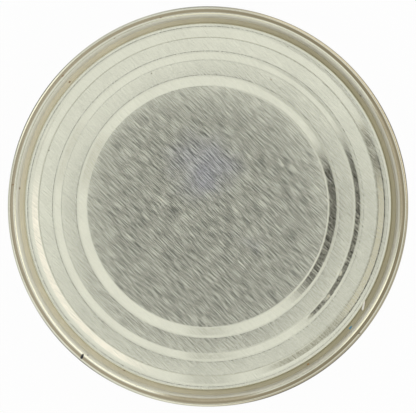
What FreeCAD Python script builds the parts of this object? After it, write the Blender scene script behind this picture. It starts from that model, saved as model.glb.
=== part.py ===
"""A round tin can, shut at both ends.

Two pressed tinplate ends are double seamed to a cylindrical body with beads rolled into its wall.
Each end is a thin sheet: a flat centre panel, three rising steps with flat lands between them, a
crest, a groove and a wall that climbs into the rolled seam. The body is solid, as a shut can is.

Millimetres, +Z up. The origin is the middle of the circle that the bottom seam stands on.
"""

import FreeCAD, Part
import math
import os

# The whole can.
can_height = 110.0
seam_diameter = 76.2

# The double seam: a rolled ring. Its outer rounding is what the flat and the inner rounding leave.
seam_height = 3.0
seam_thickness = 1.55
seam_top_flat = 0.24
seam_inner_round = 0.60
seam_foot_round = 0.45

# The sheets.
end_sheet = 0.22
body_sheet = 0.20

# The end's profile, from the seam inwards. Depths are below the seam's top, and tilts in degrees.
chuck_wall_lean = 0.38
groove_depth = 4.00
groove_width = 1.17
groove_floor = 0.40
crest_depth = 2.50
crest_width = 1.00
crest_round = 0.20
step_tilts = (18.5, 16.2, 15.0)
step_runs = (1.60, 1.20, 1.70)
land_widths = (3.05, 3.30)
foot_round = 1.00
head_round = 2.80

# The beads rolled into the body's wall, each with a plain strip of wall between it and the next.
plain_band = 16.0
bead_width = 3.40
bead_gap = 1.00
bead_floor = 1.00
bead_depth = 0.50
bead_round = 1.40

# Places and sizes that follow from these.
seam_r = seam_diameter / 2
seam_bore_r = seam_r - seam_thickness
seam_outer_round = seam_thickness - seam_top_flat - seam_inner_round
body_r = seam_bore_r + end_sheet + body_sheet
groove_outer_r = seam_bore_r - chuck_wall_lean
groove_inner_r = groove_outer_r - groove_width
groove_round = (groove_width - groove_floor) / 2
bead_pitch = bead_width + bead_gap


def end_face():
    """The end's visible face as corners (r, z, rounding), from the axis out to the seam's bore.

    The corners are worked out from the crest inwards, one step down and one land in at a time, so
    the centre panel is what the steps leave.
    """
    r = groove_inner_r - crest_width
    z = -crest_depth
    corners = [(r, z, head_round)]
    for run, tilt, land in zip(step_runs, step_tilts, (*land_widths, None)):
        r -= run
        z -= run * math.tan(math.radians(tilt))
        corners.append((r, z, foot_round))
        if land:
            r -= land
            corners.append((r, z, head_round))
    corners.append((0.0, z, 0.0))
    corners.reverse()
    return corners + [
        (groove_inner_r, -crest_depth, crest_round),
        (groove_inner_r, -groove_depth, groove_round),
        (groove_outer_r, -groove_depth, groove_round),
        (seam_bore_r, 0.0, seam_inner_round),
    ]


def run_direction(start, end):
    """The unit vector (dr, dz) of the straight run from one corner to the next."""
    dr = end[0] - start[0]
    dz = end[1] - start[1]
    length = math.hypot(dr, dz)
    return dr / length, dz / length


def underside(face, thickness):
    """The corners of a sheet's other side, which lies on the right of the given face.

    Each inner corner moves along the mitre of its two runs. A rounding grows by the thickness where
    the face turns left, and shrinks by it where the face turns right.
    """
    other = [(face[0][0], face[0][1] - thickness, 0.0)]
    for before, corner, after in zip(face, face[1:], face[2:]):
        ar, az = run_direction(before, corner)
        br, bz = run_direction(corner, after)
        turn = ar * bz - az * br
        reach = thickness / (1 + ar * br + az * bz)
        r = corner[0] + (az + bz) * reach
        z = corner[1] - (ar + br) * reach
        rounding = corner[2] + math.copysign(thickness, turn)
        other.append((r, z, max(rounding, 0.0)))
    ar, az = run_direction(face[-2], face[-1])
    other.append((face[-1][0] + az * thickness, face[-1][1] - ar * thickness, 0.0))
    return other


def end_underside():
    """The underside of the end's sheet, from the axis out to the height of the seam's foot."""
    corners = underside(end_face(), end_sheet)
    (r0, z0, _), (r1, z1, _) = corners[-2:]
    foot_r = r0 + (r1 - r0) * (-seam_height - z0) / (z1 - z0)
    return [*corners[:-1], (foot_r, -seam_height, 0.0)]


def bead_corners():
    """The body's wall between the seams, from the top down, as corners (r, z, rounding)."""
    beaded = can_height - 2 * seam_height - 2 * plain_band
    count = int((beaded + bead_gap) / bead_pitch)
    floor_r = body_r - bead_depth
    corners = []
    for i in range(count):
        z = -can_height / 2 + (count - 1 - 2 * i) * bead_pitch / 2
        corners += [
            (body_r, z + bead_width / 2, bead_round),
            (floor_r, z + bead_floor / 2, bead_round),
            (floor_r, z - bead_floor / 2, bead_round),
            (body_r, z - bead_width / 2, bead_round),
        ]
    print("beads", count)
    return corners


def rounded_corner(before, corner, after):
    """Where a corner's arc starts, passes and ends, as points. A sharp corner has no middle point."""
    r, z, rounding = corner
    if rounding == 0:
        point = FreeCAD.Vector(r, 0, z)
        return point, None, point
    ar, az = run_direction(before, corner)
    br, bz = run_direction(corner, after)
    half_turn = math.acos(ar * br + az * bz) / 2
    back = rounding * math.tan(half_turn)
    bulge = rounding / math.cos(half_turn) - rounding
    inward = FreeCAD.Vector(br - ar, 0, bz - az).normalize()
    start = FreeCAD.Vector(r - ar * back, 0, z - az * back)
    end = FreeCAD.Vector(r + br * back, 0, z + bz * back)
    return start, FreeCAD.Vector(r, 0, z) + inward * bulge, end


def turned(corners):
    """The solid that a closed outline of corners (r, z, rounding) sweeps round the Z axis."""
    arcs = [
        rounded_corner(before, corner, after)
        for before, corner, after in zip(corners[-1:] + corners, corners, corners[1:] + corners[:1])
    ]
    edges = []
    for (start, middle, end), following in zip(arcs, arcs[1:] + arcs[:1]):
        if middle:
            edges.append(Part.Arc(start, middle, end).toShape())
        edges.append(Part.LineSegment(end, following[0]).toShape())
    outline = Part.Face(Part.Wire(edges))
    return outline.revolve(FreeCAD.Vector(0, 0, 0), FreeCAD.Vector(0, 0, 1), 360)


def top_end():
    """The upper end: one thin pressed sheet, rolled up solid at its rim as the seam."""
    seam = [
        (seam_r, 0.0, seam_outer_round),
        (seam_r, -seam_height, seam_foot_round),
    ]
    outline = end_face() + seam + end_underside()[::-1]
    return turned(outline).translated(FreeCAD.Vector(0, 0, can_height))


def can_body():
    """The body: solid from the underside of one end to the other, out to its beaded wall."""
    upper_half = end_underside() + [(body_r, -seam_height, 0.0)]
    lower_half = [(r, -can_height - z, rounding) for r, z, rounding in upper_half]
    outline = upper_half + bead_corners() + lower_half[::-1]
    return turned(outline).translated(FreeCAD.Vector(0, 0, can_height))


def bottom_end():
    """The lower end: the same pressing, turned over."""
    middle = FreeCAD.Vector(0, 0, can_height / 2)
    return top_end().mirror(middle, FreeCAD.Vector(0, 0, 1))


def main():
    os.makedirs("parts", exist_ok=True)
    for make in (top_end, can_body, bottom_end):
        shape = make()
        name = make.__name__
        shape.exportStep(f"parts/{name}.step")
        print(name, shape.ShapeType, shape.isValid(), f"{shape.Volume:.2f} mm3")


main()
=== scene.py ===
# %% [markdown]
# # A shut tin can on a pale table
#
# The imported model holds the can's construction: two pressed ends and a body. This lesson gives each
# of them the surface of real tinplate. Metal shows what stands around it, so half of the work is the
# studio: the grey of a flat panel is the dark of the lens above it, and a slope shows a lamp or a gap.

# %% Load the frame
import bpy
import math
import numpy as np
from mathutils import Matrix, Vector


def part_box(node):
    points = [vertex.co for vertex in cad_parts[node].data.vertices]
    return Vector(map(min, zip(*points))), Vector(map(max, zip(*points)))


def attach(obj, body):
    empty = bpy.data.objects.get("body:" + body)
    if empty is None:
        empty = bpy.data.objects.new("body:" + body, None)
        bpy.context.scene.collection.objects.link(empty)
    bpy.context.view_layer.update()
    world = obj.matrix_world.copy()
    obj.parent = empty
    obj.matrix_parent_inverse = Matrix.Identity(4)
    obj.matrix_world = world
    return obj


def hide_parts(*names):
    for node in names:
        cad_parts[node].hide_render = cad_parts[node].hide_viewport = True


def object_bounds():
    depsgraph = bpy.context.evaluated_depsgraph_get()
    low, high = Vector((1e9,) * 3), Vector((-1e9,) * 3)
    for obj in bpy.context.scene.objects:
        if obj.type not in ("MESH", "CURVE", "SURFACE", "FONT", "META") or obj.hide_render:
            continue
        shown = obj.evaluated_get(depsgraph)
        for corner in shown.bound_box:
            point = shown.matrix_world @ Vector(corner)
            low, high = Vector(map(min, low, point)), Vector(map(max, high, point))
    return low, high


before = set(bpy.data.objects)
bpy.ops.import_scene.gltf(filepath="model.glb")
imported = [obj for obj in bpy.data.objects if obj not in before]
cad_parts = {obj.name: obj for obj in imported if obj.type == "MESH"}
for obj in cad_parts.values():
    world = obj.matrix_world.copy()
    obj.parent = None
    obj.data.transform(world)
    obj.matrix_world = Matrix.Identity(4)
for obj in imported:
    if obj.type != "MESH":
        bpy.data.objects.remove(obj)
cad_low, cad_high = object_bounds()
MM = 0.001
can_height = cad_high.z
seam_r = cad_high.x
body_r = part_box("can_body")[1].x
print("can", round(can_height / MM, 2), "mm high,", round(2 * seam_r / MM, 2), "mm over the seams")

# %% [markdown]
# ## Outlines as corners
#
# A sheet-metal outline is straight runs joined by small arcs. It could be drawn as a curve by hand,
# but a list of corners, each with its rounding, is easier to read and to change. The arcs and the
# points along the runs are worked out from it.

# %% Rounded outlines
def unit(vector):
    """A vector divided by its length."""
    return vector / np.linalg.norm(vector)


def arc_at(before, corner, after, step):
    """The points of one rounded corner, or the corner itself if its rounding is 0.

    The arc is tangent to both runs: its centre lies one radius to the inner side of the point where
    the first run stops, and its start turns about that centre by the angle between the runs.
    """
    radius = corner[2]
    if radius == 0:
        return corner[None, :2]
    a = unit(corner[:2] - before[:2])
    b = unit(after[:2] - corner[:2])
    turn = math.atan2(a[0] * b[1] - a[1] * b[0], a @ b)
    start = corner[:2] - a * radius * math.tan(abs(turn) / 2)
    to_centre = np.array([-a[1], a[0]]) * radius * math.copysign(1, turn)
    angles = np.linspace(0, turn, 2 + math.ceil(abs(math.degrees(turn)) / step))
    spoke = -to_centre
    turned = np.outer(np.cos(angles), spoke) + np.outer(np.sin(angles), [-spoke[1], spoke[0]])
    return start + to_centre + turned


def outline(corners, longest, step=6.0, guard=0.03 * MM):
    """The points of an open outline of corners (r, z, rounding), from its first to its last.

    Arcs have a point every few degrees of turn, by the step given. A long straight run gets a point
    just inside each end, the guard's length in, which keeps its shading flat. More lie between them,
    about the longest distance apart, which is a function of the radius, so that a stretch that will
    be dented can have more points.
    """
    corners = np.array(corners, float)
    arcs = [arc_at(*corners[i - 1:i + 2], step) for i in range(1, len(corners) - 1)]
    pieces = [corners[:1, :2], *arcs, corners[-1:, :2]]
    filled = [pieces[0]]
    for left, right in zip(pieces, pieces[1:]):
        p, q = left[-1], right[0]
        length = np.linalg.norm(q - p)
        if length > 3 * guard:
            count = 1 + max(1, round(length / longest((p[0] + q[0]) / 2)))
            inner = np.linspace(guard, length - guard, count)
            filled.append(p + np.outer(inner / length, q - p))
        filled.append(right)
    return np.concatenate(filled)


# %% [markdown]
# ## Turned surfaces
#
# Everything on a can is round, so each piece is its outline carried round the axis: radius and
# height come from the outline, and the angle is the second parameter. A screw modifier could do it,
# but arrays let the angles crowd together where the sheet has small dents, and let a function push
# the points about before they become a mesh.

# %% Carry an outline round the axis
def turned_mesh(name, points, angles, reshape=None):
    """A closed mesh: each outline point (r, z) becomes a ring (r cos a, r sin a, z).

    The first and last points lie on the axis and become single vertices. The reshape function, if
    given, takes r, a and z of every ring point and returns the new r and z.
    """
    rings = points[1:-1]
    r, a, z = np.broadcast_arrays(rings[:, :1], angles, rings[:, 1:])
    if reshape is not None:
        r, z = reshape(r, a, z)
    grid = np.stack([r * np.cos(a), r * np.sin(a), z], axis=-1).reshape(-1, 3)
    poles = [[0, 0, points[0, 1]], [0, 0, points[-1, 1]]]
    vertices = np.concatenate([grid, poles])
    rows, columns = r.shape
    here = np.arange(columns)
    after = np.roll(here, -1)
    row = np.arange(rows - 1)[:, None] * columns
    quads = np.stack([row + here, row + columns + here, row + columns + after, row + after], axis=-1)
    last_row = (rows - 1) * columns
    first_fan = np.stack([0 * here + len(grid), here, after], axis=-1)
    last_fan = np.stack([0 * here + len(grid) + 1, last_row + after, last_row + here], axis=-1)
    faces = [*quads.reshape(-1, 4).tolist(), *first_fan.tolist(), *last_fan.tolist()]
    mesh = bpy.data.meshes.new(name)
    mesh.from_pydata(vertices.tolist(), [], faces)
    mesh.shade_smooth()
    piece = bpy.data.objects.new(name, mesh)
    bpy.context.collection.objects.link(piece)
    print(name, rows, "rings of", columns, "points,", 2 * rows * columns, "triangles")
    return piece


# %% [markdown]
# ## The pressed end
#
# From the rim inwards a can's end has a rolled seam, a deep groove, a crest, and then three slopes
# that step down to the middle, with flat lands between them. The steps let the end bulge and settle
# as the can is cooked. All depths are below the seam's top.

# %% The end's outline
seam_height = 3.0 * MM
seam_thickness = 1.55 * MM
seam_top_flat = 0.24 * MM
seam_inner_round = 0.60 * MM
seam_foot_round = 0.45 * MM
end_sheet = 0.22 * MM
chuck_wall_lean = 0.38 * MM
groove_depth = 4.00 * MM
groove_width = 1.17 * MM
groove_floor = 0.40 * MM
crest_depth = 2.50 * MM
crest_width = 1.00 * MM
crest_round = 0.20 * MM
foot_round = 1.00 * MM
head_round = 2.80 * MM
steps = [(1.60 * MM, 18.5, 3.05 * MM), (1.20 * MM, 16.2, 3.30 * MM), (1.70 * MM, 15.0, None)]

seam_bore_r = seam_r - seam_thickness
groove_outer_r = seam_bore_r - chuck_wall_lean
groove_inner_r = groove_outer_r - groove_width
groove_round = (groove_width - groove_floor) / 2
crest_inner_r = groove_inner_r - crest_width


def end_corners():
    """The end's face from the axis to the seam's bore, as corners (r, z, rounding)."""
    r, z = crest_inner_r, -crest_depth
    corners = [(r, z, head_round)]
    for run, tilt, land in steps:
        r, z = r - run, z - run * math.tan(math.radians(tilt))
        corners.append((r, z, foot_round))
        if land:
            r -= land
            corners.append((r, z, head_round))
    corners.append((0, z, 0))
    return corners[::-1] + [
        (groove_inner_r, -crest_depth, crest_round),
        (groove_inner_r, -groove_depth, groove_round),
        (groove_outer_r, -groove_depth, groove_round),
        (seam_bore_r, 0, seam_inner_round),
    ]


face = end_corners()
panel_r, panel_depth = face[1][0], -face[1][1]
print("end corners", [(round(r / MM, 2), round(z / MM, 2)) for r, z, _ in face])

# %% [markdown]
# ## Small dings
#
# Something hard has knocked a few small dings into the foot of the second slope. They could be
# painted or bumped in the material, but a ding in bright metal is seen by the light that its sides
# throw elsewhere, so here the sheet itself is pushed down by a smooth dip at each.

# %% Where the sheet was knocked
DINGS = [
    # radius on the end in millimetres, azimuth in degrees, width, depth
    (28.20, -26.8, 0.28, 0.022),
    (28.62, -30.0, 0.16, 0.007),
    (28.42, -37.2, 0.36, 0.028),
    (28.42, -46.8, 0.38, 0.026),
]
DING_ALONG, DING_ACROSS = 1.6, 0.75


def dinged(r, a, z):
    """The sheet lowered at each ding by its depth * exp(-along^2 - across^2).

    Along runs round the ring and across runs outwards. Each is the distance from the ding's middle,
    counted in the ding's half size that way, so that a ding is about twice as long as it is broad.
    """
    z = z.copy()
    for ding_r, azimuth, width, depth in DINGS:
        turn = np.remainder(a - math.radians(azimuth) + math.pi, 2 * math.pi) - math.pi
        along = turn * ding_r / (DING_ALONG * width)
        across = (r / MM - ding_r) / (DING_ACROSS * width)
        z -= depth * MM * np.exp(-along ** 2 - across ** 2)
    return r, z


even_angles = np.linspace(0, 2 * math.pi, 360, endpoint=False)
ding_sector = np.radians(np.linspace(-51.0, -23.0, 140)) % (2 * math.pi)
clearance = 0.005
outside = (even_angles < ding_sector[0] - clearance) | (even_angles > ding_sector[-1] + clearance)
top_angles = np.sort(np.concatenate([even_angles[outside], ding_sector]))
print(len(top_angles), "angles round the top end")

# %% The two end pieces
seam_outer_round = seam_thickness - seam_top_flat - seam_inner_round
rim = [
    (seam_r, 0, seam_outer_round),
    (seam_r, -seam_height, seam_foot_round),
    (body_r, -seam_height, 0),
    (body_r - end_sheet, -seam_height, 0),
]
hidden = [(groove_outer_r, -groove_depth - end_sheet), (panel_r, -panel_depth - end_sheet),
          (0, -panel_depth - end_sheet)]


def end_outline(longest):
    """The whole outline of an end: its face, the rim, and a plain way back under the sheet."""
    return np.concatenate([outline(face + rim, longest), hidden])


plain_row, ding_row = 1.5 * MM, 0.15 * MM
plain = end_outline(lambda r: plain_row)
detailed = end_outline(lambda r: ding_row if 26.0 * MM < r < 29.4 * MM else plain_row)
top_end = turned_mesh("top_end_sheet", detailed + [0, can_height], top_angles, dinged)
bottom_end = turned_mesh("bottom_end_sheet", plain[::-1] * [1, -1], even_angles)

# %% [markdown]
# ## The body
#
# The wall of a food can has beads rolled into it, which keep it from buckling. Its sheet is bent
# round and welded along one side, and the weld stands up from the wall by a few hundredths of a
# millimetre, so the angles crowd together there too.

# %% The beaded wall
plain_band = 16.0 * MM
bead_width = 3.40 * MM
bead_gap = 1.00 * MM
bead_floor = 1.00 * MM
bead_depth = 0.50 * MM
bead_round = 1.40 * MM
weld_azimuth = math.radians(128)
weld_half_width = 0.35 * MM
weld_height = 0.05 * MM


def body_corners():
    """The body from the axis at the top, down its beaded wall, to the axis at the bottom."""
    pitch = bead_width + bead_gap
    count = int((can_height - 2 * seam_height - 2 * plain_band + bead_gap) / pitch)
    top, bottom = can_height - seam_height, seam_height
    under_end = 2 * MM
    inner_r = body_r - end_sheet
    corners = [(0, top - under_end, 0), (inner_r, top - under_end, 0), (inner_r, top, 0), (body_r, top, 0)]
    for i in range(count):
        middle = can_height / 2 + (count - 1 - 2 * i) * pitch / 2
        corners += [
            (body_r, middle + bead_width / 2, bead_round),
            (body_r - bead_depth, middle + bead_floor / 2, bead_round),
            (body_r - bead_depth, middle - bead_floor / 2, bead_round),
            (body_r, middle - bead_width / 2, bead_round),
        ]
    print("beads", count)
    return corners + [
        (body_r, bottom, 0),
        (inner_r, bottom, 0),
        (inner_r, bottom + under_end, 0),
        (0, bottom + under_end, 0),
    ]


def welded(r, a, z):
    """The wall raised along the weld: its height * t^2 (3 - 2t), where t falls from 1 to 0 outwards."""
    across = np.abs(a - weld_azimuth) * body_r
    t = np.clip(1.5 - across / weld_half_width, 0, 1)
    on_wall = r > body_r - 2 * bead_depth
    return r + weld_height * t * t * (3 - 2 * t) * on_wall, z


weld_sector = weld_azimuth + np.linspace(-2, 2, 17) * weld_half_width / body_r
round_angles = np.linspace(0, 2 * math.pi, 230, endpoint=False)
wall_angles = np.sort(np.concatenate([round_angles, weld_sector]))
wall = outline(body_corners(), lambda r: 2 * MM, step=9.0, guard=0.3 * MM)
body = turned_mesh("body_wall", wall, wall_angles, welded)

# %% [markdown]
# ## Tinplate
#
# Tinplate is steel with a bright skin of tin. The rolls leave a fine straight grain in it, which
# runs the same way across the whole end, because the end was stamped out of a flat sheet. A picture
# of brushed metal could be wrapped on, but stretched noise on the object's own coordinates stays
# straight over every step and never repeats.

# %% Node helpers
def new_material(name):
    """An empty node material with a Principled shader: the material, its tree and the shader."""
    material = bpy.data.materials.new(name)
    material.use_nodes = True
    return material, material.node_tree, material.node_tree.nodes["Principled BSDF"]


def node(tree, kind, inputs=None, **settings):
    """A new node, with its settings made and its inputs filled with values or linked sockets."""
    made = tree.nodes.new("ShaderNode" + kind)
    for key, value in settings.items():
        setattr(made, key, value)
    for key, value in (inputs or {}).items():
        if isinstance(value, bpy.types.NodeSocket):
            tree.links.new(value, made.inputs[key])
        else:
            made.inputs[key].default_value = value
    return made


def math_node(tree, operation, a, b=0.0, c=0.0):
    """The result socket of one sum."""
    return node(tree, "Math", {0: a, 1: b, 2: c}, operation=operation).outputs[0]


def smooth_step(tree, value, low, high, start=0.0, end=1.0):
    """A soft ramp from start at low to end at high."""
    ramp = node(tree, "MapRange", {"Value": value, "From Min": low, "From Max": high, "To Min": start,
                                   "To Max": end}, interpolation_type="SMOOTHSTEP")
    return ramp.outputs["Result"]


def band(tree, value, low, high, soft):
    """1 where the value lies between low and high, falling softly to 0 outside."""
    rise = smooth_step(tree, value, low - soft, low + soft)
    fall = smooth_step(tree, value, high - soft, high + soft, 1.0, 0.0)
    return math_node(tree, "MULTIPLY", rise, fall)


def mix_value(tree, share, first, second):
    """Two numbers mixed by a share from 0 to 1."""
    return node(tree, "Mix", {0: share, 2: first, 3: second}, data_type="FLOAT").outputs[0]


def mix_colour(tree, share, first, second, blend="MIX"):
    """Two colours mixed by a share from 0 to 1. A plain colour may be given as three numbers."""
    first, second = [(*c, 1) if isinstance(c, tuple) else c for c in (first, second)]
    return node(tree, "Mix", {0: share, 6: first, 7: second}, data_type="RGBA", blend_type=blend).outputs[2]


def azimuth_degrees(tree, place):
    """The azimuth of a place or a direction, in degrees."""
    x, y, z = node(tree, "SeparateXYZ", {0: place}).outputs
    return math_node(tree, "MULTIPLY", math_node(tree, "ARCTAN2", y, x), 180 / math.pi)


def off_azimuth(tree, azimuth, middle):
    """How many degrees an azimuth is from the middle given, either way round."""
    off = math_node(tree, "SUBTRACT", azimuth, middle)
    return math_node(tree, "ABSOLUTE", math_node(tree, "WRAP", off, 180, -180))


def stretched_noise(tree, place, along, across, azimuth, detail=1.0):
    """Noise drawn out along one azimuth: streaks of the length and width given."""
    turned = node(tree, "Mapping", {"Vector": place, "Rotation": (0, 0, math.radians(azimuth)),
                                    "Scale": (along, across, 1)}, vector_type="TEXTURE")
    return node(tree, "TexNoise", {"Vector": turned.outputs[0], "Scale": 1.0, "Detail": detail}).outputs[0]


# %% The rolling grain
GRAIN_AZIMUTH = -44.0
GRAIN_RELIEF = 0.0010 * MM


def grain(tree, place, shader):
    """The grain as a relief on the shader, and its fine streaks, broken by pits, as a number near 0.68.

    The relief is fine streaks plus 0.15 of broad ones, and the number is finer streaks plus 0.35 of
    the pits.
    """
    fine = stretched_noise(tree, place, 4.4 * MM, 0.10 * MM, GRAIN_AZIMUTH)
    broad = stretched_noise(tree, place, 14 * MM, 0.45 * MM, GRAIN_AZIMUTH)
    height = math_node(tree, "MULTIPLY_ADD", broad, 0.15, fine)
    bump = node(tree, "Bump", {"Strength": 1.0, "Distance": GRAIN_RELIEF, "Height": height})
    tree.links.new(bump.outputs[0], shader.inputs["Normal"])
    pits = node(tree, "TexNoise", {"Vector": place, "Scale": 1 / (0.11 * MM), "Detail": 0.0}).outputs[0]
    streaks = stretched_noise(tree, place, 2.8 * MM, 0.050 * MM, GRAIN_AZIMUTH)
    return math_node(tree, "MULTIPLY_ADD", pits, 0.35, streaks)


# %% [markdown]
# ## Age, painted light and painted shade on the ends
#
# Dust and a little rust settle in the groove, and the seam's top, which everything rubs against,
# has lost its bright skin and gone brown. Over the dirt, the groove, its wall and the seam's top are
# painted lighter towards one side, as painted light, and darker away from it, as painted shade. The
# dirt could be painted on by hand, but it follows the can's own shape, so the masks are made of
# measures: the distance from the axis, the depth below the nearer seam's top, and the distance
# towards the side that is painted lighter, where the groove is also given less metal, like dust.

# %% Measures on an end
def end_measures(tree, place):
    """The distance from the axis and the depth below the nearer seam's top, both in millimetres."""
    x, y, z = node(tree, "SeparateXYZ", {0: place}).outputs
    squares = math_node(tree, "ADD", math_node(tree, "MULTIPLY", x, x), math_node(tree, "MULTIPLY", y, y))
    radius = math_node(tree, "MULTIPLY", math_node(tree, "SQRT", squares), 1 / MM)
    from_middle = math_node(tree, "ABSOLUTE", math_node(tree, "SUBTRACT", z, can_height / 2))
    depth = math_node(tree, "MULTIPLY_ADD", from_middle, -1 / MM, can_height / 2 / MM)
    return radius, depth


def near_azimuth(tree, place, azimuth, low, high):
    """A ramp from 0 to 1 as the distance towards an azimuth grows from low to high, in millimetres."""
    turned = node(tree, "VectorRotate", {"Vector": place, "Angle": math.radians(-azimuth)},
                  rotation_type="Z_AXIS")
    towards = node(tree, "SeparateXYZ", {0: turned.outputs[0]}).outputs[0]
    return smooth_step(tree, towards, low * MM, high * MM)


# %% Where dirt, wear, painted light and painted shade lie
# The side towards which the groove, its wall and the seam's top are painted lighter, as painted light, and
# away from which they are painted darker, as painted shade; the groove there is also less metallic, like
# dust.
LIT_AND_DUSTY_SIDE = 180.0
# Sides towards which the seam's inner round is coloured a darker brown.
DARKER_SEAM_SIDES = [
    # azimuth, the distances towards it in millimetres at which the darker brown starts and is full
    (12.0, 33.6, 35.8),
    (270.0, 35.0, 36.4),
]
TOP_WEAR_SHIFT = 0.09 * MM
edge, bore = seam_r / MM, seam_bore_r / MM
wall_foot, groove_edge = groove_outer_r / MM, groove_inner_r / MM
inner_foot, middle_foot, outer_foot = [r / MM for r, z, rounding in face if rounding == foot_round]
print("feet of the slopes at", round(inner_foot, 2), round(middle_foot, 2), round(outer_foot, 2), "mm")


def seam_top_mask(tree, place):
    """A ring on the seam's top, whose middle is a little off the axis, as rubbing is never even."""
    flat = node(tree, "VectorMath", {0: place, 1: (1, 1, 0), 2: (TOP_WEAR_SHIFT, 0, 0)},
                operation="MULTIPLY_ADD").outputs[0]
    rubbed = node(tree, "VectorMath", {0: flat}, operation="LENGTH").outputs["Value"]
    return band(tree, math_node(tree, "MULTIPLY", rubbed, 1 / MM), bore + 0.39, bore + 0.99, 0.08)


def end_masks(tree, place):
    """Masks from 0 to 1 by name: the lit and dusty side, and each kind of dirt, wear, darkening and painted
    shade by its own ring.
    """
    radius, depth = end_measures(tree, place)
    # The lit and dusty side: painted light towards it, painted shade away from it.
    dusty = near_azimuth(tree, place, LIT_AND_DUSTY_SIDE, -26, 36)
    clean = smooth_step(tree, dusty, 0.40, 0.08)
    feet = [band(tree, radius, inner_foot - 0.23, inner_foot - 0.13, 0.04),
            band(tree, radius, middle_foot - 0.25, middle_foot - 0.15, 0.04)]
    darker_seam = [near_azimuth(tree, place, *side) for side in DARKER_SEAM_SIDES]
    both = {
        "groove": (smooth_step(tree, radius, groove_edge - 0.22, groove_edge - 0.08),
                   smooth_step(tree, depth, 2.52, 2.62)),
        "wall": (band(tree, radius, wall_foot - 0.15, bore + 0.35, 0.07),
                 smooth_step(tree, depth, 0.28, 0.40)),
        # Brown dirt and painted shade: the outer edge is darker on the side away from the lit side.
        "outer edge": (smooth_step(tree, radius, edge - 0.6, edge - 0.4),
                       smooth_step(tree, dusty, 0.50, 0.05)),
        # A darker brown on the seam's inner round towards two sides.
        "darker_seam": (math_node(tree, "MAXIMUM", *darker_seam), band(tree, radius, bore - 0.05, bore + 0.50, 0.08)),
        "worn crest": (band(tree, radius, groove_edge - 0.56, groove_edge - 0.20, 0.05),
                       smooth_step(tree, dusty, 0.45, 0.10)),
        "worn feet": (math_node(tree, "MAXIMUM", *feet), clean),
    }
    masks = {name: math_node(tree, "MULTIPLY", *pair) for name, pair in both.items()}
    masks["dusty"] = dusty
    masks["seam top"] = seam_top_mask(tree, place)
    # Painted shade: a darker ring in the crease at the foot of the outermost slope.
    masks["dirty foot"] = band(tree, radius, outer_foot - 0.09, outer_foot + 0.03, 0.06)
    return masks


# %% [markdown]
# ## The finish of the ends
#
# Bare tin has a slightly yellow grey of its own. The colours of the dirt are laid over it one mask at
# a time, with painted light on one side, painted shade on the other and in a crease, and then cloudy
# blotches and a few bluish stains tint whatever lies below. Polish works the same way: clean tin is
# nearly a mirror, a scratch scatters light, and dirt isn't metal.

# %% Colours of the ends
TIN = (0.715, 0.72, 0.60)
# Each pair is dirt or wear painted darker away from the lit side, as painted shade, and lighter towards it,
# as painted light.
GROOVE_SHADED_DIRT, GROOVE_LIT_DUST = (0.50, 0.46, 0.31), (0.80, 0.75, 0.58)
WALL_SHADED_DIRT, WALL_LIT_TIN = (0.80, 0.79, 0.70), (0.83, 0.83, 0.76)
SEAM_SHADED_BROWN, SEAM_LIT_WORN = (0.29, 0.25, 0.16), (0.46, 0.41, 0.29)
# Brown dirt and painted shade on the outer edge, away from the lit side.
EDGE_SHADED_BROWN = (0.50, 0.46, 0.34)
# A darker brown for the seam's inner round towards two sides.
SEAM_ROUND_DARKER = (0.42, 0.37, 0.25)
# Painted shade for the crease at the foot of the outermost slope.
FOOT_SHADE = (0.80, 0.79, 0.75)
BLOTCH_DARK, BLOTCH_LIGHT = (0.93, 0.93, 0.93), (1.07, 1.07, 1.07)
STAIN_TINT = (0.90, 0.90, 1.12)
STAINS = [
    # x, y and size in millimetres
    (-0.6, 7.6, 6.6),
    (2.2, 3.2, 3.6),
    (8.1, -5.9, 3.6),
]


def tinted(tree, share, colour, tint):
    """A colour multiplied by a tint, by a share from 0 to 1."""
    return mix_colour(tree, share, colour, mix_colour(tree, 1.0, colour, tint, "MULTIPLY"))


def stain_mask(tree, place, blotches, x, y, size):
    """A round spot on the upper end's panel, whose outline the blotches push up to 3 mm in or out."""
    off = node(tree, "VectorMath", {0: place, 1: (x * MM, y * MM, can_height)}, operation="DISTANCE")
    wavy = math_node(tree, "MULTIPLY_ADD", blotches, 6.0, -3.0)
    off = math_node(tree, "MULTIPLY_ADD", off.outputs["Value"], 1 / MM, wavy)
    return smooth_step(tree, off, size * 0.2, size * 1.5, 1.0, 0.0)


def end_colour(tree, place, masks, stains):
    """The colour of an end: tin, with its dirt, its painted light and shade, its blotches and its stains
    (x, y, size) over it.
    """
    dusty = masks["dusty"]
    # Painted light and shade: the groove, wall and seam's top are lighter towards the lit side and darker
    # away from it.
    colour = mix_colour(tree, masks["groove"], TIN, mix_colour(tree, dusty, GROOVE_SHADED_DIRT, GROOVE_LIT_DUST))
    colour = mix_colour(tree, masks["wall"], colour, mix_colour(tree, dusty, WALL_SHADED_DIRT, WALL_LIT_TIN))
    # The outer edge: brown dirt with painted shade away from the lit side.
    colour = mix_colour(tree, masks["outer edge"], colour, EDGE_SHADED_BROWN)
    colour = mix_colour(tree, masks["seam top"], colour, mix_colour(tree, dusty, SEAM_SHADED_BROWN, SEAM_LIT_WORN))
    # A darker brown on the seam's inner round towards two sides.
    colour = mix_colour(tree, masks["darker_seam"], colour, SEAM_ROUND_DARKER)
    # Painted shade in the crease at the foot of the outermost slope.
    colour = tinted(tree, masks["dirty foot"], colour, FOOT_SHADE)
    blotches = node(tree, "TexNoise", {"Vector": place, "Scale": 1 / (5 * MM), "Detail": 2.0}).outputs[0]
    shades = mix_colour(tree, blotches, BLOTCH_DARK, BLOTCH_LIGHT)
    colour = mix_colour(tree, 1.0, colour, shades, "MULTIPLY")
    for stain in stains:
        colour = tinted(tree, stain_mask(tree, place, blotches, *stain), colour, STAIN_TINT)
    return colour


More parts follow.
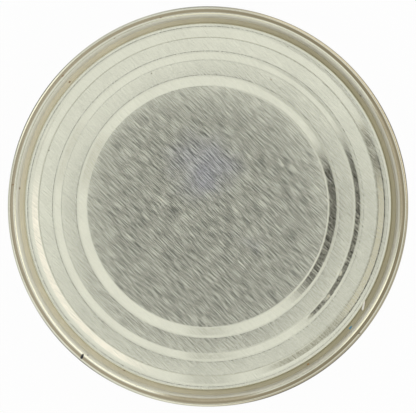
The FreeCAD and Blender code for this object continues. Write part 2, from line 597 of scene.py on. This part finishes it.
# %% Polish of the ends
SCRATCH_STARTS, SCRATCH_FULL = 0.662, 0.795
POLISHED_ROUGH, SCRATCHED_ROUGH = 0.04, 0.36
WORN_ROUGH = [
    # mask, roughness where it is 1
    ("worn crest", 0.34),
    ("worn feet", 0.50),
    ("groove", 0.38),
    ("wall", 0.50),
    ("seam top", 0.28),
]
SCRATCHED_METAL = 0.90
GROOVE_METAL, LIT_AND_DUSTY_METAL, WALL_METAL, DARKER_SEAM_METAL = 0.40, 0.15, 0.15, 0.40


def end_tinplate(name, stains):
    """Bare tinplate with its grain, its dirt and painted light and shade by depth, radius and side, and any
    stains on the panel.
    """
    material, tree, shader = new_material(name)
    place = node(tree, "TexCoord").outputs["Object"]
    masks = end_masks(tree, place)
    tree.links.new(end_colour(tree, place, masks, stains), shader.inputs["Base Color"])
    scratch = smooth_step(tree, grain(tree, place, shader), SCRATCH_STARTS, SCRATCH_FULL)
    rough = mix_value(tree, scratch, POLISHED_ROUGH, SCRATCHED_ROUGH)
    for mask, value in WORN_ROUGH:
        rough = mix_value(tree, masks[mask], rough, value)
    tree.links.new(rough, shader.inputs["Roughness"])
    metal = mix_value(tree, scratch, 1.0, SCRATCHED_METAL)
    metal = mix_value(tree, masks["groove"], metal,
                      mix_value(tree, masks["dusty"], GROOVE_METAL, LIT_AND_DUSTY_METAL))
    metal = mix_value(tree, masks["wall"], metal, WALL_METAL)
    metal = mix_value(tree, masks["darker_seam"], metal, DARKER_SEAM_METAL)
    tree.links.new(metal, shader.inputs["Metallic"])
    print(name, len(tree.nodes), "nodes,", len(stains), "stains")
    return material


top_finish = end_tinplate("bare_end_tinplate_top", STAINS)
bottom_finish = end_tinplate("bare_end_tinplate_bottom", [])

# %% [markdown]
# ## The finish of the body
#
# The body's sheet is wrapped round the can, so its grain runs round too. Noise on plain coordinates
# would cut straight through the cylinder, so the place is unrolled first: the way round in metres,
# and the height. The heat of welding leaves a blue tint beside the dark line of the weld.

# %% Tinplate round the body
BODY_SHADES = [(0.66, 0.665, 0.56), (0.75, 0.755, 0.64)]
WELD_BLUE, WELD_GREY = (0.56, 0.57, 0.56), (0.33, 0.32, 0.29)
BODY_RELIEF = 0.004 * MM
BODY_ROUGH, WELD_ROUGH = 0.12, 0.35


def body_tinplate(name):
    """Bare tinplate whose grain runs round the can, with a darker line along the weld."""
    material, tree, shader = new_material(name)
    place = node(tree, "TexCoord").outputs["Object"]
    x, y, z = node(tree, "SeparateXYZ", {0: place}).outputs
    azimuth = math_node(tree, "ARCTAN2", y, x)
    unrolled = node(tree, "CombineXYZ", {0: math_node(tree, "MULTIPLY", azimuth, body_r), 1: z, 2: 0.0})
    fine = stretched_noise(tree, unrolled.outputs[0], 5.0 * MM, 0.16 * MM, 0.0)
    bump = node(tree, "Bump", {"Strength": 1.0, "Distance": BODY_RELIEF, "Height": fine})
    tree.links.new(bump.outputs[0], shader.inputs["Normal"])
    off_weld = math_node(tree, "ABSOLUTE", math_node(tree, "SUBTRACT", azimuth, weld_azimuth))
    off_weld = math_node(tree, "MULTIPLY", off_weld, body_r / MM)
    weld = smooth_step(tree, off_weld, 0.45, 0.75, 1.0, 0.0)
    blue = smooth_step(tree, off_weld, 0.6, 2.2, 1.0, 0.0)
    clouds = node(tree, "TexNoise", {"Vector": place, "Scale": 1 / (9 * MM), "Detail": 3.0}).outputs[0]
    colour = mix_colour(tree, clouds, *BODY_SHADES)
    colour = mix_colour(tree, blue, colour, WELD_BLUE)
    colour = mix_colour(tree, weld, colour, WELD_GREY)
    tree.links.new(colour, shader.inputs["Base Color"])
    rough = mix_value(tree, weld, BODY_ROUGH, WELD_ROUGH)
    tree.links.new(rough, shader.inputs["Roughness"])
    shader.inputs["Metallic"].default_value = 1.0
    print(name, len(tree.nodes), "nodes")
    return material


body_finish = body_tinplate("bare_body_tinplate")

# %% Put the pieces on the frame
for piece, cad_node, finish, slot in (
    (top_end, "top_end", top_finish, "end_tinplate"),
    (bottom_end, "bottom_end", bottom_finish, "end_tinplate"),
    (body, "can_body", body_finish, "body_tinplate"),
):
    piece.data.materials.append(finish)
    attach(piece, "root")
    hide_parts(cad_node)
    print(piece.name, "stands for", cad_node, "in", slot)

# %% [markdown]
# ## Specks
#
# A few crumbs of dirt and rust lie on the end, one of them blue, and a white fibre hangs over the
# groove's edge. Each crumb is a squashed lump that sinks halfway into the sheet. They could be
# scattered at random, but these few, listed one by one, look less even. All of them are one mesh, and a
# colour attribute tells them apart. They are too small to have a body or a slot of their own.

# %% Crumbs of dirt and rust
BLACK, DARK = (0.02, 0.02, 0.02), (0.09, 0.075, 0.05)
RUST, ORANGE = (0.22, 0.12, 0.05), (0.50, 0.25, 0.09)
BLUE, WHITE = (0.16, 0.42, 0.65), (0.90, 0.90, 0.88)
SPECKS = [
    # radius on the end in millimetres and azimuth in degrees, length, width, turn, colour
    (37.20, 230.0, 0.95, 0.60, 60, BLACK),
    (36.45, 231.0, 0.34, 0.26, 0, BLACK),
    (35.75, -40.4, 0.75, 0.42, 40, BLUE),
    (23.90, 11.7, 0.20, 0.20, 0, WHITE),
    (36.20, 174.5, 0.42, 0.30, 80, RUST),
    (37.30, 173.6, 0.35, 0.25, 0, RUST),
    (37.10, 138.0, 0.50, 0.28, 30, RUST),
    (35.60, 138.0, 0.40, 0.30, 0, RUST),
    (37.00, 104.0, 0.32, 0.22, 0, RUST),
    (36.60, 119.0, 0.30, 0.22, 50, RUST),
    (35.15, 243.0, 0.40, 0.30, 20, RUST),
    (35.70, -57.6, 0.45, 0.32, 0, ORANGE),
    (37.50, -40.0, 0.36, 0.24, 0, DARK),
    (36.05, 36.0, 0.34, 0.26, 0, DARK),
    (32.20, 160.5, 0.24, 0.20, 0, DARK),
    (27.10, 63.6, 0.26, 0.20, 0, RUST),
    (27.60, 113.0, 0.24, 0.20, 0, DARK),
    (34.10, 63.5, 0.22, 0.18, 0, DARK),
]


def sheet_point(radius, azimuth):
    """The point of the upper sheet at a radius in millimetres and an azimuth in degrees."""
    rising = detailed[:np.argmax(detailed[:, 0])]
    height = can_height + np.interp(radius * MM, rising[:, 0], rising[:, 1])
    angle = math.radians(azimuth)
    return np.array([radius * MM * math.cos(angle), radius * MM * math.sin(angle), height])


def lump(centre, length, width, turn):
    """A squashed ball with an uneven outline: half axes length / 2, width / 2 and width / 4.

    Latitude rings run from pole to pole, and each longitude's reach is 1 + 0.2 sin(2a) + 0.1 sin(3a),
    with each wave shifted by the crumb's own turn or length.
    """
    rise = np.radians(np.linspace(-90, 90, 7))
    around = np.linspace(0, 2 * math.pi, 12, endpoint=False)
    latitude, a = np.meshgrid(rise, around, indexing="ij")
    reach = 1 + 0.2 * np.sin(2 * a + turn) + 0.1 * np.sin(3 * a + length / MM)
    across = np.cos(latitude) * reach / 2
    x = length * across * np.cos(a)
    y = width * across * np.sin(a)
    z = width / 4 * np.sin(latitude)
    c, s = math.cos(turn), math.sin(turn)
    return centre + np.stack([x * c - y * s, x * s + y * c, z], axis=-1)


def tube_faces(rows, columns, first):
    """The faces of a tube whose first and last points are its two ends, with rings between them.

    The ring points are numbered row by row after the first end, and all numbers start at the first
    one given. Each end closes with a fan of triangles.
    """
    here = np.arange(columns)
    after = (here + 1) % columns
    row = np.arange(rows - 1)[:, None] * columns + 1
    quads = np.stack([row + here, row + after, row + columns + after, row + columns + here], axis=-1)
    top = (rows - 1) * columns + 1
    start = np.stack([0 * here, after + 1, here + 1], axis=-1)
    end = np.stack([0 * here + rows * columns + 1, top + here, top + after], axis=-1)
    return [*(quads + first).reshape(-1, 4).tolist(), *(start + first).tolist(), *(end + first).tolist()]


def closed_tube(rows):
    """The points of rows that run round a tube, with the first and last rows made single points."""
    return np.concatenate([rows[0, :1], rows[1:-1].reshape(-1, 3), rows[-1, :1]])


def loose_piece(name, tubes, colours):
    """One mesh of several closed tubes of points, each with its own colour in the attribute "tint"."""
    points, faces, shades = [], [], []
    for tube, colour in zip(tubes, colours):
        faces += tube_faces(tube.shape[0] - 2, tube.shape[1], len(points))
        points += closed_tube(tube).tolist()
        shades += [(*colour, 1)] * (len(points) - len(shades))
    mesh = bpy.data.meshes.new(name)
    mesh.from_pydata(points, [], faces)
    tint = mesh.attributes.new("tint", "FLOAT_COLOR", "POINT")
    tint.data.foreach_set("color", np.array(shades, np.float32).ravel())
    mesh.shade_smooth()
    piece = bpy.data.objects.new(name, mesh)
    bpy.context.collection.objects.link(piece)
    print(name, len(tubes), "pieces,", len(faces), "faces")
    return piece


crumbs = [lump(sheet_point(r, a), length * MM, width * MM, math.radians(turn))
          for r, a, length, width, turn, _ in SPECKS]
specks = loose_piece("dirt_specks", crumbs, [speck[-1] for speck in SPECKS])

# %% A white fibre
FIBRE_PATH = [
    # radius of a point in millimetres, its azimuth in degrees, half the fibre's thickness there
    (34.92, -31.0, 0.09),
    (35.02, -31.9, 0.20),
    (35.20, -32.7, 0.22),
    (35.42, -33.6, 0.30),
    (35.58, -34.0, 0.14),
]


def fibre_tube(path, sides=10):
    """A bent tube along points (radius, azimuth, half thickness), closed to a point at both ends.

    Each ring is its point of the path + half thickness * (side cos a + up sin a), and the half
    thickness shrinks to 0 at both ends as the square root of half a sine wave.
    """
    middles = np.array([sheet_point(r, a) for r, a, _ in path])
    halves = np.array([half for *_, half in path]) * MM
    middles[:, 2] = np.linspace(middles[0, 2], middles[-1, 2], len(path)) + halves
    rings = 25
    t = np.linspace(0, len(path) - 1, rings)
    line = np.stack([np.interp(t, range(len(path)), middles[:, i]) for i in range(3)], axis=-1)
    thinning = np.sqrt(np.sin(np.linspace(0, math.pi, rings)).clip(0))
    half = np.interp(t, range(len(path)), halves) * thinning
    along = np.gradient(line, axis=0)
    side = np.cross([0, 0, 1], along)
    side /= np.linalg.norm(side, axis=1)[:, None]
    up = np.cross(along, side)
    up /= np.linalg.norm(up, axis=1)[:, None]
    a = np.linspace(0, 2 * math.pi, sides, endpoint=False)
    ring = side[:, None] * np.cos(a)[None, :, None] + up[:, None] * np.sin(a)[None, :, None]
    return line[:, None] + ring * half[:, None, None]


fibre = loose_piece("white_fibre", [fibre_tube(FIBRE_PATH)], [(0.95, 0.93, 0.88)])

# %% Dry dirt
crumb_finish, tree, shader = new_material("dry_dirt")
tint = node(tree, "Attribute", attribute_name="tint")
tree.links.new(tint.outputs["Color"], shader.inputs["Base Color"])
shader.inputs["Roughness"].default_value = 0.75
for piece in (specks, fibre):
    piece.data.materials.append(crumb_finish)
    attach(piece, "root")
    print(piece.name, "rides the root")

# %% [markdown]
# ## The table
#
# The can stands on a plain pale table. Its matt surface catches the can's shadow. A share of plain
# white light is mixed in for the camera, so that the table reads as paper white without any more
# light on the can. A bright wall that mirrors nothing but white looks like china, so in reflections
# the table's glow grows darker away from the can, and strips of painted shade in it stand for black
# cards round it.

# %% Table
TABLE_HALF = 0.6
TABLE_WHITE = (0.85, 0.85, 0.84, 1)
GLOW_SHARE = 0.94
FADE_FROM, FADE_TO, FADED = 0.10, 0.34, 0.60
CARD_SOFTNESS = 8
# Strips of painted shade in the table's glow, seen only in reflections, where black cards would stand.
TABLE_CARD_SHADES = [
    # azimuth and half width in degrees, what it leaves of the light
    (20, 14, 0.35),
    (92, 9, 0.45),
    (150, 16, 0.30),
    (228, 12, 0.38),
    (300, 18, 0.32),
]


def mirrored_table(tree):
    """What a mirror sees of the table's glow: white near the can, darker further out and at each painted
    card shade.
    """
    place = node(tree, "TexCoord").outputs["Object"]
    from_can = node(tree, "VectorMath", {0: place}, operation="LENGTH").outputs["Value"]
    level = smooth_step(tree, from_can, FADE_FROM, FADE_TO, 1.0, FADED)
    azimuth = azimuth_degrees(tree, place)
    for middle, half, shade in TABLE_CARD_SHADES:
        off = off_azimuth(tree, azimuth, middle)
        strip = smooth_step(tree, off, half - CARD_SOFTNESS, half + CARD_SOFTNESS, shade, 1.0)
        level = math_node(tree, "MULTIPLY", level, strip)
    return level


def table_white(name):
    """Matt white mixed with plain light: mostly light for the camera, and only light for a mirror."""
    material, tree, shader = new_material(name)
    shader.inputs["Base Color"].default_value = TABLE_WHITE
    shader.inputs["Roughness"].default_value = 0.9
    ray = node(tree, "LightPath").outputs
    mirror = ray["Is Glossy Ray"]
    level = mix_value(tree, mirror, 1.0, mirrored_table(tree))
    glow = node(tree, "Emission", {"Color": (1, 1, 1, 1), "Strength": level})
    seen = math_node(tree, "MAXIMUM", ray["Is Camera Ray"], ray["Is Transmission Ray"])
    share = math_node(tree, "MAXIMUM", math_node(tree, "MULTIPLY", seen, GLOW_SHARE), mirror)
    mixed = node(tree, "MixShader", {0: share, 1: shader.outputs[0], 2: glow.outputs[0]})
    tree.links.new(mixed.outputs[0], tree.nodes["Material Output"].inputs["Surface"])
    return material


corners = [(-TABLE_HALF, -TABLE_HALF, 0), (TABLE_HALF, -TABLE_HALF, 0),
           (TABLE_HALF, TABLE_HALF, 0), (-TABLE_HALF, TABLE_HALF, 0)]
square = bpy.data.meshes.new("table")
square.from_pydata(corners, [], [(0, 1, 2, 3)])
table = bpy.data.objects.new("table", square)
bpy.context.collection.objects.link(table)
table.data.materials.append(table_white("pale_table"))
print("table", 2 * TABLE_HALF, "m wide, with", len(TABLE_CARD_SHADES), "black cards mirrored in it")

# %% [markdown]
# ## The studio above
#
# A flat piece of bright metal over a white table shows whatever hangs above it. Real photographers
# hold up cards to put light and dark into it. Cards could be planes in the scene, but in the world
# they cost nothing and cast no shadow: each one darkens or brightens a patch of sky, and only for
# reflections. The lens is a small dark disc straight above.

# %% Sky cards
CARDS = [
    # name, azimuth, half width, two angles off the zenith, softness of sides and ends, colour.
    # All angles are in degrees.
    ("round the camera", 0, 200, 5.0, 14.0, 5, 1.0, (0.88, 0.88, 0.87)),
    ("camera below", 262, 50, 2.0, 2.9, 18, 0.4, (0.36, 0.36, 0.36)),
    ("camera right", 335, 46, 2.0, 3.5, 18, 0.4, (0.73, 0.73, 0.73)),
    ("left of the camera", 200, 44, 5.0, 24.0, 12, 1.5, (0.66, 0.66, 0.65)),
    ("left gap", 171, 34, 23.5, 31.7, 10, 1.0, (0.06, 0.058, 0.055)),
    ("left gap's foot", 140, 7, 28.8, 31.7, 1.5, 0.5, (0.09, 0.087, 0.082)),
    ("left warm", 172, 34, 31.7, 42, 8, 1.0, (0.78, 0.74, 0.66)),
    ("left dark edge", 198, 9, 31.7, 70, 5, 1.0, (0.30, 0.29, 0.27)),
    ("low dark edge", 126, 15, 31.7, 42, 6, 1.0, (0.45, 0.44, 0.40)),
    ("right lamp", 30, 36, 31.7, 36.5, 9, 1.5, (1.37, 1.28, 1.27)),
    ("right dark", 12, 22, 38, 57, 10, 2.0, (0.52, 0.50, 0.46)),
    ("front dark", 270, 14, 37, 55, 8, 2.0, (0.36, 0.34, 0.29)),
    ("front glow", 268, 18, 58, 88, 8, 2.0, (1.25, 1.20, 1.12)),
    ("far window", 38, 38, 58, 88, 10, 2.0, (1.75, 1.68, 1.58)),
    ("left window", 148, 14, 50, 88, 7, 3.0, (1.60, 1.52, 1.38)),
    ("near window", 215, 28, 46, 88, 8, 3.0, (1.05, 1.03, 1.00)),
    ("front window", 302, 16, 46, 88, 6, 3.0, (0.80, 0.79, 0.77)),
    ("back dim", 90, 8, 20, 42, 6, 3.0, (0.70, 0.70, 0.69)),
    ("right dim", 338, 12, 20, 31, 6, 3.0, (0.78, 0.77, 0.75)),
]
HORIZON = (0.70, 0.69, 0.67)
HORIZON_FROM, HORIZON_FULL = 52.0, 74.0
LENS_COLOUR = (0.195, 0.20, 0.205)
LENS_EDGE = (math.radians(2.20), math.radians(2.42))
LENS_TOWARDS = (0.0, -0.0015, 1.0)
WHITE_LIGHT = (1.0, 1.0, 1.0)
print(len(CARDS), "cards:", ", ".join(card[0] for card in CARDS))

# %% Hang the cards in the world
def card_mask(tree, azimuth, steep, card):
    """1 inside a card's patch of sky, falling softly to 0 round it."""
    middle, half, near, far, soft_side, soft_end = card[1:-1]
    off = off_azimuth(tree, azimuth, middle)
    across = smooth_step(tree, off, half - soft_side, half + soft_side, 1.0, 0.0)
    return math_node(tree, "MULTIPLY", across, band(tree, steep, near, far, soft_end))


def studio_sky():
    """The world: white to the camera and to matt things, and to metal a sky with cards in it."""
    world = bpy.data.worlds.new("studio")
    world.use_nodes = True
    bpy.context.scene.world = world
    tree = world.node_tree
    direction = node(tree, "TexCoord").outputs["Generated"]
    azimuth = azimuth_degrees(tree, direction)
    level = math_node(tree, "MINIMUM", node(tree, "SeparateXYZ", {0: direction}).outputs[2], 1.0)
    steep = math_node(tree, "MULTIPLY", math_node(tree, "ARCCOSINE", level), 180 / math.pi)
    haze = smooth_step(tree, steep, HORIZON_FROM, HORIZON_FULL)
    colour = mix_colour(tree, haze, WHITE_LIGHT, HORIZON)
    for card in CARDS:
        colour = mix_colour(tree, card_mask(tree, azimuth, steep, card), colour, card[-1])
    off_lens = node(tree, "VectorMath", {0: direction, 1: LENS_TOWARDS}, operation="DISTANCE")
    lens = smooth_step(tree, off_lens.outputs["Value"], *LENS_EDGE, 1.0, 0.0)
    colour = mix_colour(tree, lens, colour, LENS_COLOUR)
    ray = node(tree, "LightPath")
    colour = mix_colour(tree, ray.outputs["Is Glossy Ray"], WHITE_LIGHT, colour)
    tree.links.new(colour, tree.nodes["Background"].inputs["Color"])
    tree.nodes["Background"].inputs["Strength"].default_value = 1.0
    print("world", len(tree.nodes), "nodes")


studio_sky()

# %% [markdown]
# ## The camera
#
# The camera hangs straight above the middle of the end and looks down the can's axis. Its distance
# sets how much of the groove's sloping wall it can see, and its lens is worked out so that the rim
# fills most of the frame.

# %% Camera
camera_height = 0.600
rim_share_of_frame = 0.9631
lens_data = bpy.data.cameras.new("camera")
lens_data.sensor_width = 36.0
rim_distance = camera_height + seam_outer_round
lens_data.lens = rim_share_of_frame * lens_data.sensor_width * rim_distance / (2 * seam_r)
camera = bpy.data.objects.new("camera", lens_data)
camera.location = (0, 0, can_height + camera_height)
bpy.context.collection.objects.link(camera)
bpy.context.scene.camera = camera
bpy.context.scene.view_settings.view_transform = "Standard"
print("lens", round(lens_data.lens, 1), "mm")
